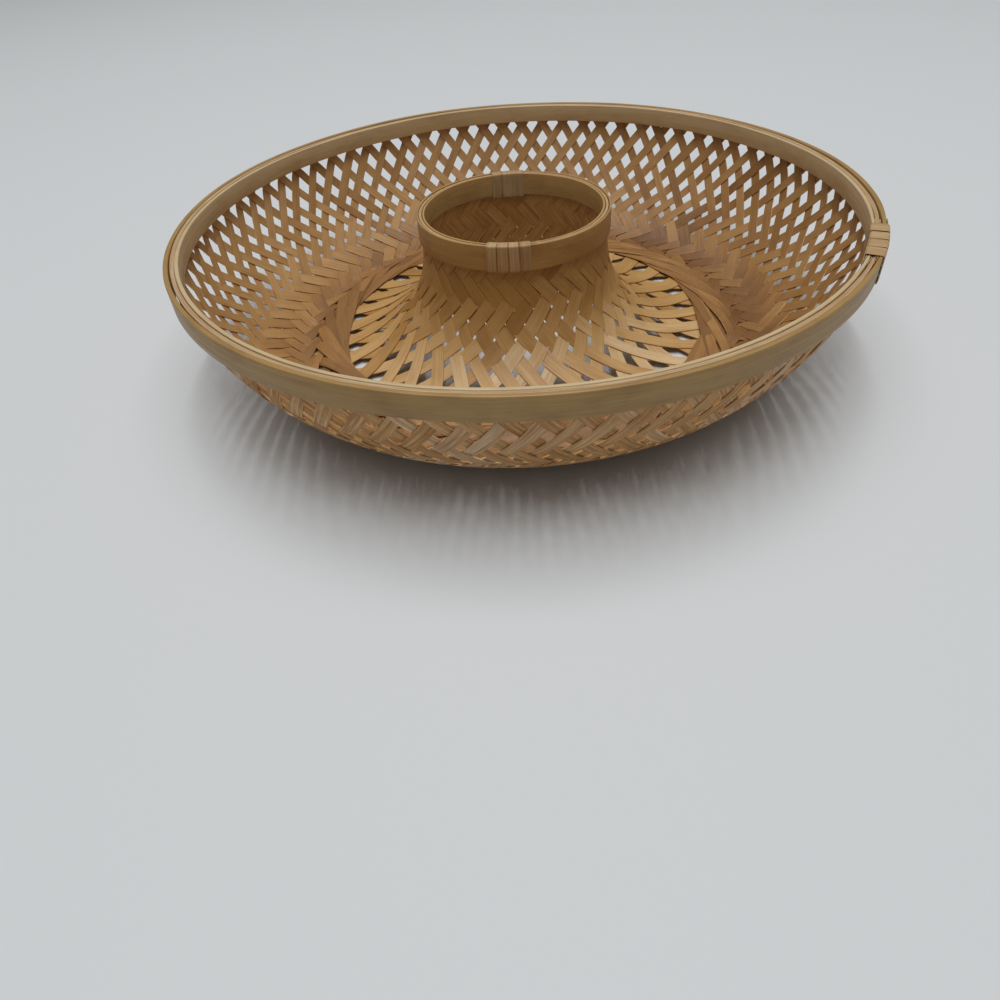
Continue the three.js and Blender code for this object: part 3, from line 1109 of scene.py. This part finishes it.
@dataclass
class WovenCone:
    """The cone: two families of wider strips, close under the collar and open at the foot.

    Tables give millimetres from the top first.

    Attributes:
        strips: How many strips each family has.
        strip_width: Usual width of a strip.
        girths: Least and largest width of a strip, as shares of the usual one.
        foot_swell: How much wider, as a share, the strips of the foot are.
        strip_thickness: Thickness of a strip.
        offset: How far the cone stands off the rim's centre, along X.
        neck_radius: Radius of the wall between the collar hoops.
        top: Height of the collar.
        edge: Height where the strips are cut off.
        hoop_foot: Height of the collar hoops' lower edge.
        collar_handle, foot_handle: Lengths that shape the wall's curve at its two ends.
        flat_radius, flat_height: Where the wall has flared out, just inside the base ring.
        handle_height: Height of the handle that shapes the flare.
        foot_radius, foot_height: Where the strips end, under the base ring.
        slants: Table of the slant of the strips from level.
        straight_reach: How near the axis the straight strips of the foot would pass.
        row_distance: Distance from the top of a known row of crossings.
        hole_azimuth: Azimuth of an opening in that row.
        wander: How far a strip wanders round the wall.
        bend: Height of a strip's centre off the wall's middle where it goes over or under.
        middle_tone, shade_spread: Middle shade, and how far the strips differ.
        front_painted_light: Painted light: how much paler the front is.
        collar_painted_shade: Painted shade: how much darker the wall is near the collar.
        left_painted_shade: Painted shade: how much darker the left-hand side is.
        spacing: Distance between the points along a strip.
        generator: Seeded source of chance.
    """

    strips: int = 34
    strip_width: float = 6.0 * MM
    girths: Span = (0.9, 1.08)
    foot_swell: float = 0.3
    strip_thickness: float = 0.42 * MM
    offset: float = -1.6 * MM
    neck_radius: float = 41.2 * MM
    top: float = 58 * MM
    edge: float = 56 * MM
    hoop_foot: float = 47.4 * MM
    collar_handle: float = 31 * MM
    foot_handle: float = 26 * MM
    flat_radius: float = 85 * MM
    flat_height: float = 2.1 * MM
    handle_height: float = 3.0 * MM
    foot_radius: float = 98.6 * MM
    foot_height: float = 0.62 * MM
    slants: Table = ((0, 48), (12, 48), (28, 54.5), (45, 55.5))
    straight_reach: float = 32.6 * MM
    row_distance: float = 40 * MM
    hole_azimuth: float = 247.1
    wander: float = 1.1
    bend: float = 0.26 * MM
    middle_tone: float = 0.5
    shade_spread: float = 0.13
    front_painted_light: float = 0.16
    collar_painted_shade: float = 0.2
    left_painted_shade: float = 0.1
    spacing: float = 1.9 * MM
    generator: random.Random = field(default_factory=lambda: random.Random(11))

    def __post_init__(self) -> None:
        """Draws the half section and works out the turn of the strips."""
        wall_steps, table_points = 120, 4001
        wall = bezier((
            (self.neck_radius, self.hoop_foot),
            (self.neck_radius, self.hoop_foot - self.collar_handle),
            (self.flat_radius - self.foot_handle, self.handle_height),
            (self.flat_radius, self.flat_height),
        ), wall_steps)
        self.profile = Profile([
            (self.neck_radius, self.top), *wall, (self.foot_radius, self.foot_height),
        ], facing=-1)
        self.pitch = 2 * math.pi / self.strips
        self.table_distance = np.linspace(0.0, self.profile.distance[-1], table_points)
        _, turn = turn_steps(self.profile, self._slant, self.table_distance)
        self.table_turn = np.concatenate(([0.0], np.cumsum(turn)))
        self.known_turn = float(np.interp(self.row_distance, self.table_distance, self.table_turn))

    def _slant(self, distance: Array) -> Array:
        """Works out the slant of the strips from level.

        Args:
            distance: Distances from the top.

        Returns:
            The slants, in radians.
        """
        straight_zone = (52 * MM, 60 * MM)
        on_wall = np.radians(read_off(self.slants, distance))
        radius = self.profile.radius(distance)
        straight = np.arccos(np.minimum(self.straight_reach / radius, 1.0))
        return on_wall + (straight - on_wall) * smoothstep(*straight_zone, radius)

    @staticmethod
    def _over(row: int) -> bool:
        """Whether the family that winds forwards as it goes down lies over at a row.

        Args:
            row: The row, counted downwards from the known one.

        Returns:
            True where it lies over.
        """
        if row > 0:
            return row != 1
        return (-row + 1) // 2 % 2 == 0

    def _path(self, index: int, way: int, width: float) -> StripPath:
        """Lays out one strip, from the collar to the foot.

        Args:
            index: Which strip of its family it is.
            way: 1 if its family winds forwards as it goes down, -1 if backwards.
            width: Its usual width.

        Returns:
            The strip's path.
        """
        path_points, wander_knots, wander_zone = 2401, 6, (42 * MM, 56 * MM)
        width_wander, width_knots, widest = 0.05, 5, 0.97
        foot_zone, near_front = (56 * MM, 72 * MM), (0.2, 0.8)
        begin = float(np.interp(self.top - self.edge, self.table_distance, self.table_turn))
        fine = np.linspace(begin, self.table_turn[-1], path_points)
        down = np.interp(fine, self.table_turn, self.table_distance)
        turn, distance, radius = even_path(self.profile, fine, down, self.spacing)
        from_row = turn - self.known_turn
        reach = distance / self.profile.distance[-1]

        stray = handmade(self.generator, reach, self.wander, wander_knots)
        wander = np.radians(stray) * smoothstep(*wander_zone, radius)
        crossing = math.radians(self.hole_azimuth) + self.pitch / 2
        azimuth = crossing + index * self.pitch + way * from_row + wander
        over = self._over if way > 0 else (lambda k: not self._over(k))
        lift = woven_lift(2 * from_row / self.pitch, over) * self.bend

        space = self.pitch * radius * np.sin(self._slant(distance))
        foot = smoothstep(*foot_zone, radius) * (1 - smoothstep(*near_front, -np.sin(azimuth)))
        change = width_wander * handmade(self.generator, reach, 1.0, width_knots)
        widths = width * (1 + self.foot_swell * foot) * (1 - change)
        widths = np.minimum(widths, widest * space)
        return StripPath(azimuth, distance, lift, np.zeros_like(lift), widths)

    def _tone(self, path: StripPath, stray: float) -> Array:
        """Works out the shade of a strip, with its painted light and painted shade.

        Args:
            path: Its path.
            stray: How much paler than the others it is.

        Returns:
            Its shade at each point.
        """
        near_front, front_zone, near_left = (0.1, 0.8), (46 * MM, 60 * MM), (0.2, 0.8)
        collar_zone, collar_evenness = (41 * MM, 50 * MM), 0.55
        radius = self.profile.radius(path.distance)
        # Painted light: the front of the flare is paler.
        front = smoothstep(*near_front, -np.sin(path.azimuth)) * smoothstep(*front_zone, radius)
        # Painted shade: the wall is darker under the collar.
        under_collar = 1 - smoothstep(*collar_zone, radius)
        tone = self.middle_tone + stray * (1 - collar_evenness * under_collar)
        tone += self.front_painted_light * front - self.collar_painted_shade * under_collar
        # Painted shade: the left-hand side is darker.
        left = smoothstep(*near_left, -np.cos(path.azimuth))
        return tone - self.left_painted_shade * left * (1 - under_collar)

    def build(self, shaders: BambooShaders) -> bpy.types.Object:
        """Weaves the cone.

        Args:
            shaders: Makes the materials.

        Returns:
            The finished object.
        """
        ribbon = Ribbon(self.profile)
        made = []
        for way, seed in ((1, 200.0), (-1, 250.0)):
            for index in range(self.strips):
                width = self.strip_width * self.generator.uniform(*self.girths)
                stray = self.generator.gauss(0.0, self.shade_spread)
                path = self._path(index, way, width)
                tone = self._tone(path, stray)
                made.append(ribbon.build(path, seed + index, tone, tone))
        looks = (CONE_SKIN, CONE_PITH)
        woven = finish_weave(made, "cone_strips", self.strip_thickness, looks, shaders)
        points = coordinates(woven)
        points[:, 0] += self.offset
        put_coordinates(woven, points)
        return woven


# Hoops


@dataclass
class Hoop:
    """A flat strip bent into a hoop, its tapered ends lying one over the other.

    Attributes:
        name: Piece name.
        node: The solid that it stands for.
        slot: The record's material slot; not used.
        outer_radius, thickness, top, height: Size of the hoop.
        scarf_azimuth, scarf_angle: Where the ends overlap.
        steps: How many stretches it is bent from.
        round: Radius of the rounded corners.
        waver: How far the hoop strays from a true circle and from level.
        finish: Its look.
        tone: Its shade.
        seed: A number that sets its grain and its waver apart.
        centre: Its centre, along X.
        slant: Lean of the outer end's thin edge, in degrees of azimuth from bottom to top.
        tip: Thickness of the thin ends, as a share.
        gap: Half the space between the lying ends.
        out_waves, up_waves: Share, number round the hoop and shift of the waves of the waver.
    """

    name: str
    node: str
    slot: str
    outer_radius: float
    thickness: float
    top: float
    height: float
    scarf_azimuth: float
    scarf_angle: float
    steps: int
    round: float
    waver: float
    finish: BambooFinish
    tone: float
    seed: int
    centre: float = 0.0
    slant: float = 0.0
    tip: float = 0.18
    gap: float = 0.06 * MM
    out_waves: tuple[tuple[float, int, float], ...] = ((0.5, 2, 1.0), (0.3, 5, 2.0))
    up_waves: tuple[tuple[float, int, float], ...] = ((0.6, 3, 1.7), (0.4, 7, 0.6))

    # The section is spun almost all the way round, then stretched so that its ends overlap.
    NEARLY_ROUND = 359.0
    SMOOTH_ANGLE = 40

    def build(self, shaders: BambooShaders) -> bpy.types.Object:
        """Bends the hoop.

        Args:
            shaders: Makes the material.

        Returns:
            The finished object.
        """
        deselect_all()
        bpy.ops.mesh.primitive_plane_add(size=1.0, rotation=(math.radians(90), 0, 0))
        bpy.ops.object.transform_apply(location=False, rotation=True, scale=False)
        hoop = bpy.context.object
        hoop.name = self.name
        hoop.data.name = self.name
        corners = coordinates(hoop)
        corners[:, 0] = self.outer_radius - self.thickness / 2 + corners[:, 0] * self.thickness
        corners[:, 1] = 0.0
        corners[:, 2] = self.top - self.height / 2 + corners[:, 2] * self.height
        put_coordinates(hoop, corners)
        with editing("SELECT"):
            bpy.ops.mesh.bevel(offset=self.round, segments=3, affect="VERTICES")
            bpy.ops.mesh.select_all(action="SELECT")
            bpy.ops.mesh.spin(
                steps=self.steps, angle=math.radians(self.NEARLY_ROUND), center=(0, 0, 0),
                axis=(0, 0, 1),
            )
            bpy.ops.mesh.select_all(action="SELECT")
            bpy.ops.mesh.remove_doubles(threshold=1e-7)
            bpy.ops.mesh.normals_make_consistent(inside=False)
        self._shape(hoop)
        hoop.data.materials.append(shaders.material(self.finish))
        set_value(hoop, SEED_ATTRIBUTE, float(self.seed))
        set_value(hoop, Side.SKIN.value, self.tone)
        smooth(hoop, self.SMOOTH_ANGLE)
        finish_piece(hoop, [self.node])
        return hoop

    def _shape(self, hoop: bpy.types.Object) -> None:
        """Stretches the spun strip round past its start, tapers its ends and lets it waver.

        Args:
            hoop: The spun strip.
        """
        seam, lean_start = 359.8, 0.94
        points = coordinates(hoop)
        spun = np.degrees(np.arctan2(points[:, 1], points[:, 0])) % 360.0
        spun[spun > seam] = 0.0
        share = np.clip(spun / self.NEARLY_ROUND, 0.0, 1.0)
        inner = self.outer_radius - self.thickness
        depth = (np.hypot(points[:, 0], points[:, 1]) - inner) / self.thickness
        level = (points[:, 2] - self.top + self.height) / self.height - 0.5

        first = self.scarf_azimuth + self.tip * self.scarf_angle
        last = self.scarf_azimuth + 360.0 + (1.0 - self.tip) * self.scarf_angle
        azimuth = first + share * (last - first)
        azimuth += self.slant * level * smoothstep(lean_start, 1.0, share)
        past = (azimuth - self.scarf_azimuth) / self.scarf_angle
        past_again = (azimuth - self.scarf_azimuth - 360.0) / self.scarf_angle
        thin_in = np.clip(past, self.tip, 1.0)
        thin_out = np.clip(past_again, 0.0, 1.0 - self.tip)
        low = inner + self.thickness * thin_out + self.gap * (thin_out > 0)
        high = inner + self.thickness * thin_in - self.gap * (thin_in < 1)

        turn = np.radians(azimuth)
        radius = low + depth * (high - low) + self.waver * self._waves(self.out_waves, turn)
        height = points[:, 2] + self.waver * self._waves(self.up_waves, turn)
        put_coordinates(hoop, np.column_stack((
            self.centre + radius * np.cos(turn), radius * np.sin(turn), height,
        )))
        set_grain(hoop, np.column_stack((turn * self.outer_radius, height + radius)))

    def _waves(self, waves: Sequence[tuple[float, int, float]], turn: Array) -> Array:
        """Sum of waves round the hoop, from -1 to 1, at azimuths in radians."""
        return sum(
            share * np.sin(count * turn + shift * self.seed) for share, count, shift in waves
        )


# Lashings


@dataclass
class Lashing:
    """Several wraps of a flat strip round a set of hoops.

    Attributes:
        prefix: Names of the wraps and of the solids that they stand for.
        middle, pitch: Azimuth of the middle of the wraps, and angle from each to the next.
        width: Width of the strip.
        thickness: Thickness of the strip.
        inner, outer: Radii of the faces that it lies on.
        foot, top: Heights of the edges that it goes round.
        lean: How far each wrap leans, as a slope.
        tones: Shade of each wrap.
        centre: Centre of the hoops, along X.
        corner: Radius of the bend round each corner.
        edge_round: Radius of the strip's own edges.
        crown: How much the strip is thicker in its middle.
        swell: How far the wraps' widths differ, as a share.
    """

    prefix: str
    middle: float
    pitch: float
    width: float
    thickness: float
    inner: float
    outer: float
    foot: float
    top: float
    lean: float
    tones: Sequence[float]
    centre: float = 0.0
    corner: float = 0.75 * MM
    edge_round: float = 0.12 * MM
    crown: float = 0.1 * MM
    swell: float = 0.06

    FIRST_SEED = 300.0
    EDGE_ANGLE = 50
    SMOOTH_ANGLE = 40

    def build(self, shaders: BambooShaders) -> list[bpy.types.Object]:
        """Wraps the strip round, once for each shade.

        Args:
            shaders: Makes the material.

        Returns:
            The wraps.
        """
        count = len(self.tones)
        return [
            self._wrap(index, self.middle + (index - (count - 1) / 2) * self.pitch, shaders)
            for index in range(count)
        ]

    def _wrap(self, index: int, azimuth: float, shaders: BambooShaders) -> bpy.types.Object:
        """Makes one wrap: a box round the hoops without its two open sides, rounded and thickened.

        Args:
            index: Which wrap it is.
            azimuth: Where it goes.
            shaders: Makes the material.

        Returns:
            The finished wrap.
        """
        node = f"{self.prefix}_{index + 1}"
        deselect_all()
        bpy.ops.mesh.primitive_cube_add(size=1.0)
        wrap = bpy.context.object
        wrap.name = f"{node}_strip"
        wrap.data.name = wrap.name
        points = coordinates(wrap)
        points[:, 0] = (self.inner + self.outer) / 2 + points[:, 0] * (self.outer - self.inner)
        points[:, 1] *= self.width
        points[:, 2] = (self.foot + self.top) / 2 + points[:, 2] * (self.top - self.foot)
        put_coordinates(wrap, points)

        with editing("DESELECT"):
            bpy.ops.mesh.select_mode(type="FACE")
        for polygon in wrap.data.polygons:
            polygon.select = abs(polygon.normal.y) > 0.9
        with editing():
            bpy.ops.mesh.delete(type="ONLY_FACE")
            bpy.ops.mesh.select_mode(type="EDGE")
            bpy.ops.mesh.select_all(action="DESELECT")
        for edge in wrap.data.edges:
            a, b = (wrap.data.vertices[k].co for k in edge.vertices)
            edge.select = abs(a.y - b.y) > self.width / 2
        with editing():
            bpy.ops.mesh.bevel(offset=self.corner, segments=4, affect="EDGES")
            bpy.ops.mesh.select_all(action="SELECT")
            bpy.ops.mesh.subdivide(number_cuts=3)
            bpy.ops.mesh.normals_make_consistent(inside=False)

        shell = wrap.modifiers.new("thickness", "SOLIDIFY")
        shell.thickness = self.thickness
        shell.offset = 1.0
        edges = wrap.modifiers.new("edges", "BEVEL")
        edges.width = self.edge_round
        edges.segments = 2
        edges.limit_method = "ANGLE"
        edges.angle_limit = math.radians(self.EDGE_ANGLE)
        apply_modifiers(wrap)
        self._settle(wrap, azimuth, index)
        wrap.data.materials.append(shaders.material(LASHING_SKIN))
        set_value(wrap, SEED_ATTRIBUTE, self.FIRST_SEED + azimuth)
        set_value(wrap, Side.SKIN.value, self.tones[index])
        smooth(wrap, self.SMOOTH_ANGLE)
        finish_piece(wrap, [node])
        return wrap

    def _settle(self, wrap: bpy.types.Object, azimuth: float, index: int) -> None:
        """Crowns, leans and turns a wrap to its place.

        Args:
            wrap: The wrap.
            azimuth: Where it goes.
            index: Which wrap it is; it sets its own width and lean.
        """
        points = coordinates(wrap)
        set_grain(wrap, np.column_stack((points[:, 0] + points[:, 2], points[:, 1])))
        across = points[:, 1] / (self.width / 2)
        swell = 1.0 + self.swell * math.sin(2.1 * index + 0.7)
        lean = self.lean * math.cos(1.3 * index)
        points[:, 1] = points[:, 1] * swell + (points[:, 2] - (self.foot + self.top) / 2) * lean
        way = np.where(points[:, 0] > (self.inner + self.outer) / 2, 1.0, -1.0)
        points[:, 0] += way * self.crown * (1 - across**2)
        turn = math.radians(azimuth)
        x = points[:, 0] * math.cos(turn) - points[:, 1] * math.sin(turn)
        y = points[:, 0] * math.sin(turn) + points[:, 1] * math.cos(turn)
        put_coordinates(wrap, np.column_stack((x + self.centre, y, points[:, 2])))


# Camera, table and light


@dataclass
class PhotoCamera:
    """The camera that looks at the basket as in the picture.

    Attributes:
        place: Where it stands.
        yaw, pitch, roll: Turn to the left, tilt down and lean.
        focal_length, sensor_width: Lens and sensor, in millimetres.
        nearest: Nearest distance that it sees.
    """

    place: tuple[float, float, float] = (0.0, -0.32818, 0.183513)
    yaw: float = -3.089
    pitch: float = 42.544
    roll: float = -4.559
    focal_length: float = 26.65
    sensor_width: float = 36
    nearest: float = 10 * MM

    def build(self) -> bpy.types.Object:
        """Places the camera.

        Returns:
            The camera.
        """
        yaw, pitch, roll = (math.radians(v) for v in (self.yaw, self.pitch, self.roll))
        forward = Vector((
            math.sin(yaw) * math.cos(pitch), math.cos(yaw) * math.cos(pitch), -math.sin(pitch),
        ))
        right = forward.cross(Vector((0, 0, 1))).normalized()
        up = right.cross(forward)
        leant = math.cos(roll) * right + math.sin(roll) * up
        raised = -math.sin(roll) * right + math.cos(roll) * up
        bpy.ops.object.camera_add()
        camera = bpy.context.object
        turn = Matrix((leant, raised, -forward)).transposed().to_4x4()
        camera.matrix_world = Matrix.Translation(self.place) @ turn
        camera.data.lens = self.focal_length
        camera.data.sensor_fit = "HORIZONTAL"
        camera.data.sensor_width = self.sensor_width
        camera.data.clip_start = self.nearest
        bpy.context.scene.camera = camera
        LOG.info("camera placed")
        return camera


@dataclass
class Studio:
    """A pale table under a broad, soft ceiling light and a long, narrow lamp.

    Attributes:
        table_size, table_shade, table_roughness: Size and look of the table.
        sky_strength: Strength of the white light from all round.
        lamp_back, lamp_height: Where the two lamps hang.
        ceiling_width, ceiling_power: Size and power of the broad light.
        tube_length, tube_width, tube_power: Size and power of the narrow one.
    """

    table_size: float = 8.0
    table_shade: Shade = (209, 212, 214)
    table_roughness: float = 0.7
    sky_strength: float = 0.18
    lamp_back: float = 0.05
    lamp_height: float = 2.4
    ceiling_width: float = 2.5
    ceiling_power: float = 39.5
    tube_length: float = 2.2
    tube_width: float = 0.1
    tube_power: float = 15.0

    def _lamp(self, name: str, size: tuple[float, float], power: float) -> None:
        """Hangs a rectangular lamp that faces straight down.

        Args:
            name: Its name.
            size: Its two sides.
            power: Its power.
        """
        bpy.ops.object.light_add(type="AREA", location=(0.0, self.lamp_back, self.lamp_height))
        lamp = bpy.context.object
        lamp.name = name
        lamp.data.shape = "RECTANGLE"
        lamp.data.size, lamp.data.size_y = size
        lamp.data.energy = power

    def build(self) -> None:
        """Lays the table and hangs the lights."""
        bpy.ops.mesh.primitive_plane_add(size=self.table_size)
        table = bpy.context.object
        table.name = "table"
        material = bpy.data.materials.new("table_top")
        material.use_nodes = True
        feed(material.node_tree, material.node_tree.nodes["Principled BSDF"], {
            "Base Color": linear(*self.table_shade), "Roughness": self.table_roughness,
        })
        table.data.materials.append(material)

        world = bpy.context.scene.world or bpy.data.worlds.new("world")
        bpy.context.scene.world = world
        world.use_nodes = True
        feed(world.node_tree, world.node_tree.nodes["Background"], {
            "Color": (1.0, 1.0, 1.0, 1.0), "Strength": self.sky_strength,
        })
        self._lamp("ceiling", (self.ceiling_width, self.ceiling_width), self.ceiling_power)
        self._lamp("tube", (self.tube_width, self.tube_length), self.tube_power)
        bpy.context.scene.view_settings.view_transform = "Standard"
        LOG.info("studio built")


def hoops() -> list[Hoop]:
    """Gives the sizes of the six hoops and core strips.

    Returns:
        The hoops.
    """
    rim = {"scarf_azimuth": 323.0, "scarf_angle": 26.0, "steps": 300}
    collar = {"scarf_azimuth": 250.0, "scarf_angle": 50.0, "steps": 160, "centre": -1.6 * MM}
    return [
        Hoop(
            "rim_outer_band", "rim_outer_hoop", "hoop_bamboo", outer_radius=150 * MM,
            thickness=2 * MM, top=60 * MM, height=9.6 * MM, round=0.45 * MM, waver=0.25 * MM,
            finish=HOOP_SKIN, tone=0.45, seed=1, **rim,
        ),
        Hoop(
            "rim_inner_band", "rim_inner_hoop", "hoop_bamboo", outer_radius=145.6 * MM,
            thickness=1.6 * MM, top=59.7 * MM, height=8.4 * MM, round=0.35 * MM, waver=0.25 * MM,
            finish=INNER_HOOP_SKIN_AND_SHEEN, tone=0.5, seed=2, **rim,
        ),
        Hoop(
            "rim_core_band", "rim_core_strip", "core_bamboo", outer_radius=147.7 * MM,
            thickness=1.8 * MM, top=59.6 * MM, height=2.4 * MM, round=0.3 * MM, waver=0.2 * MM,
            finish=CORE_EDGE, tone=0.65, seed=3, **rim,
        ),
        Hoop(
            "collar_outer_band", "collar_outer_hoop", "hoop_bamboo", outer_radius=43 * MM,
            thickness=0.9 * MM, top=58 * MM, height=10.6 * MM, round=0.2 * MM, waver=0.12 * MM,
            finish=COLLAR_SKIN, tone=0.4, seed=4, slant=-5.0, **collar,
        ),
        Hoop(
            "collar_inner_band", "collar_inner_hoop", "hoop_bamboo", outer_radius=40.3 * MM,
            thickness=0.9 * MM, top=57.8 * MM, height=9.6 * MM, round=0.2 * MM, waver=0.12 * MM,
            finish=COLLAR_SKIN, tone=0.6, seed=5, **collar,
        ),
        Hoop(
            "collar_core_band", "collar_core_strip", "core_bamboo", outer_radius=41.8 * MM,
            thickness=1.2 * MM, top=57.7 * MM, height=1.8 * MM, round=0.2 * MM, waver=0.1 * MM,
            finish=CORE_EDGE, tone=0.6, seed=6, **collar,
        ),
    ]


def lashings() -> list[Lashing]:
    """Gives the sizes of the three lashings.

    Returns:
        The lashings.
    """
    collar = {
        "outer": 43.15 * MM, "foot": 47.2 * MM, "top": 58.15 * MM, "lean": 0.03,
        "centre": -1.6 * MM,
    }
    return [
        Lashing(
            "rim_lashing", middle=336, pitch=2.95, width=6.6 * MM, thickness=0.3 * MM,
            inner=143.7 * MM, outer=150.2 * MM, foot=50.0 * MM, top=60.2 * MM, lean=0.08,
            tones=(0.75, 0.6, 0.85, 0.7),
        ),
        Lashing(
            "collar_front_lashing", middle=266.5, pitch=6.3, width=4.2 * MM, thickness=0.25 * MM,
            inner=39.2 * MM, tones=(0.75, 0.6, 0.8, 0.65), **collar,
        ),
        Lashing(
            "collar_back_lashing", middle=93.5, pitch=7.4, width=4.9 * MM, thickness=0.2 * MM,
            inner=39.3 * MM, tones=(0.45, 0.6, 0.5), **collar,
        ),
    ]


def main() -> None:
    """Builds the basket piece by piece."""
    deselect_all()
    shaders = BambooShaders()
    finish_piece(WovenBowl().build(shaders), ["bowl_weave"])
    finish_piece(WovenCone().build(shaders), ["cone_weave"])
    for hoop in hoops():
        hoop.build(shaders)
    for lashing in lashings():
        lashing.build(shaders)
    Studio().build()
    PhotoCamera().build()


if __name__ == "__main__":
    main()
